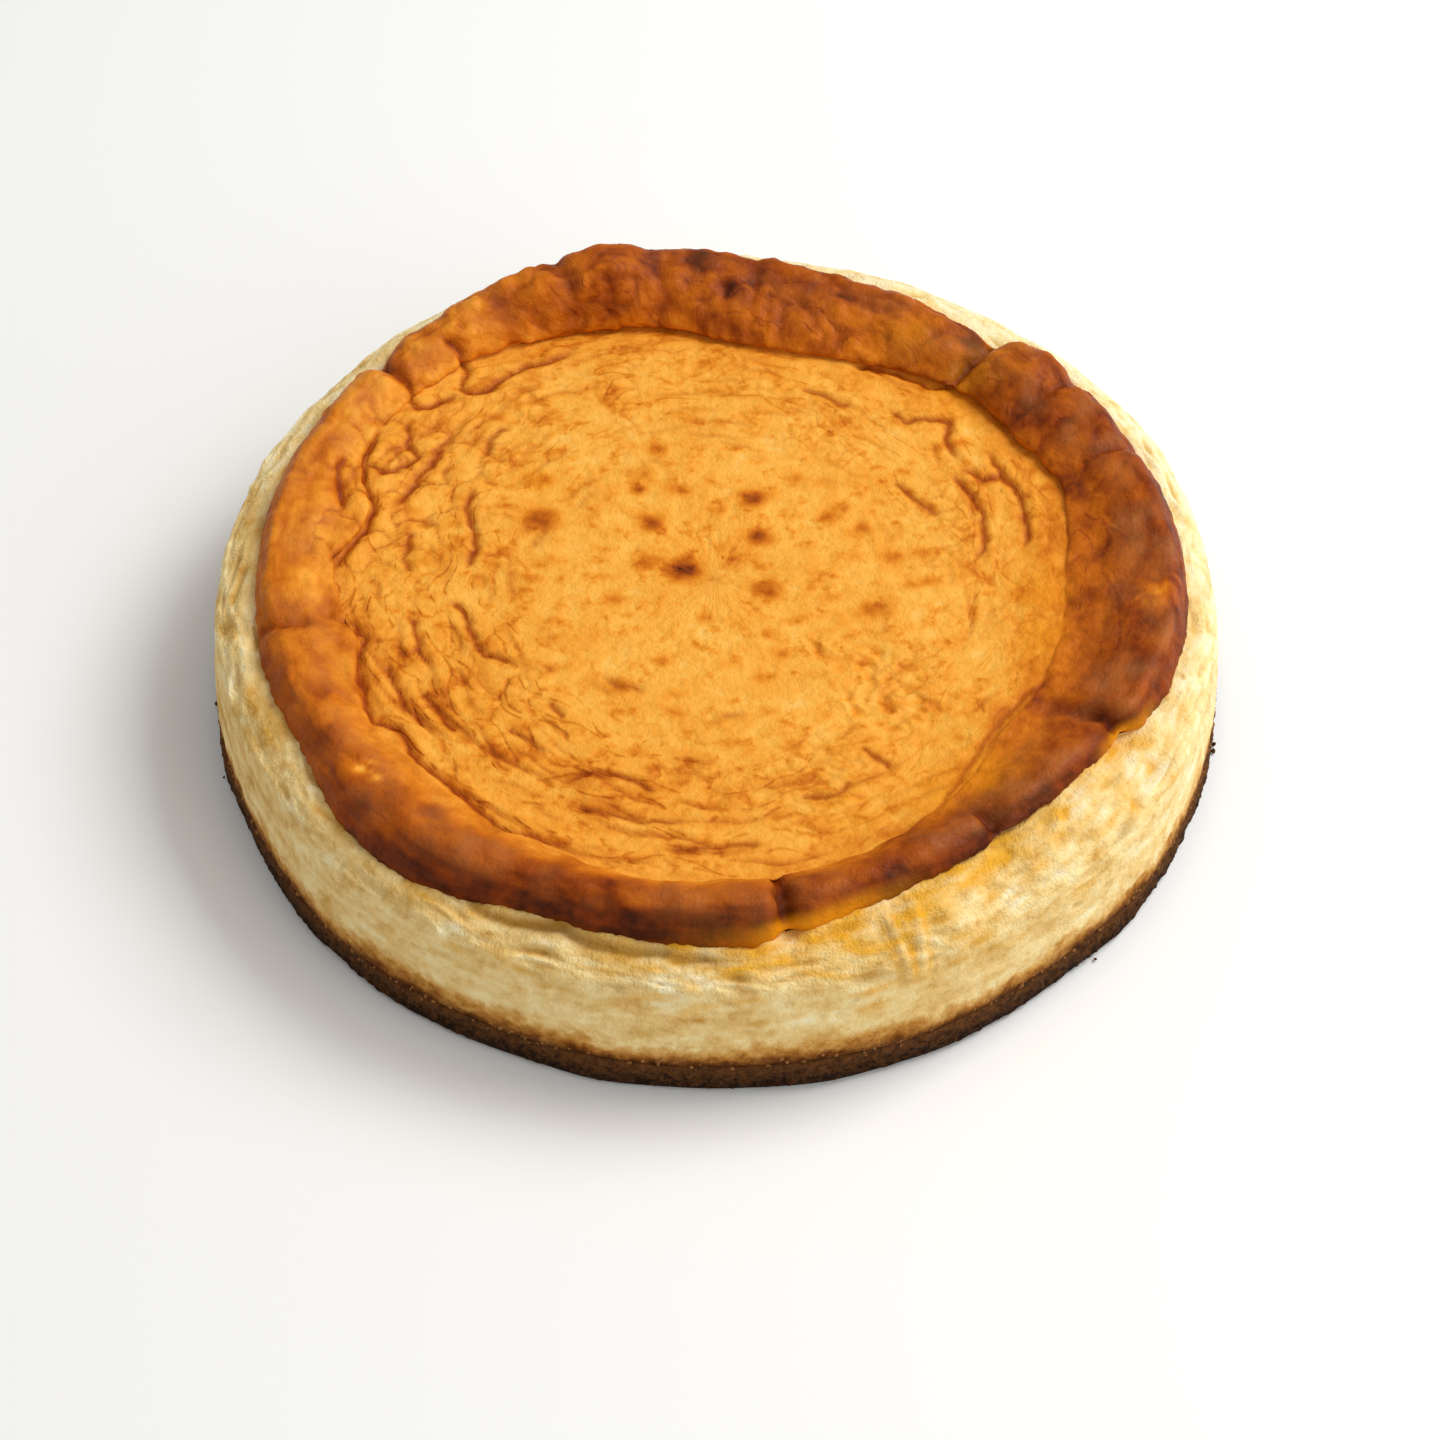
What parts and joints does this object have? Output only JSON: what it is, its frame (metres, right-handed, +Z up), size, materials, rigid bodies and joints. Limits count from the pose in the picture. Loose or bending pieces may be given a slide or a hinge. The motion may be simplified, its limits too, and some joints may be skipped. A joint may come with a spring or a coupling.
{
  "type": "baked cheesecake",
  "caption": "Whole round baked cheesecake with a folded browned rim, a sunken wrinkled top and a biscuit base.",
  "frame": {"origin": "centre of the underside of the biscuit base", "axes": "+Z up through the cake, -Y towards the side the picture shows in front, +X to the right of that view"},
  "size_m": [0.2404, 0.2404, 0.053],
  "materials": {
    "biscuit": "rough pressed crumb",
    "baked_cheese": "satin browned skin over matt cream curd"
  },
  "bodies": {
    "root": {"biscuit_base": "biscuit", "cheese_filling": "baked_cheese"}
  },
  "joints": []
}
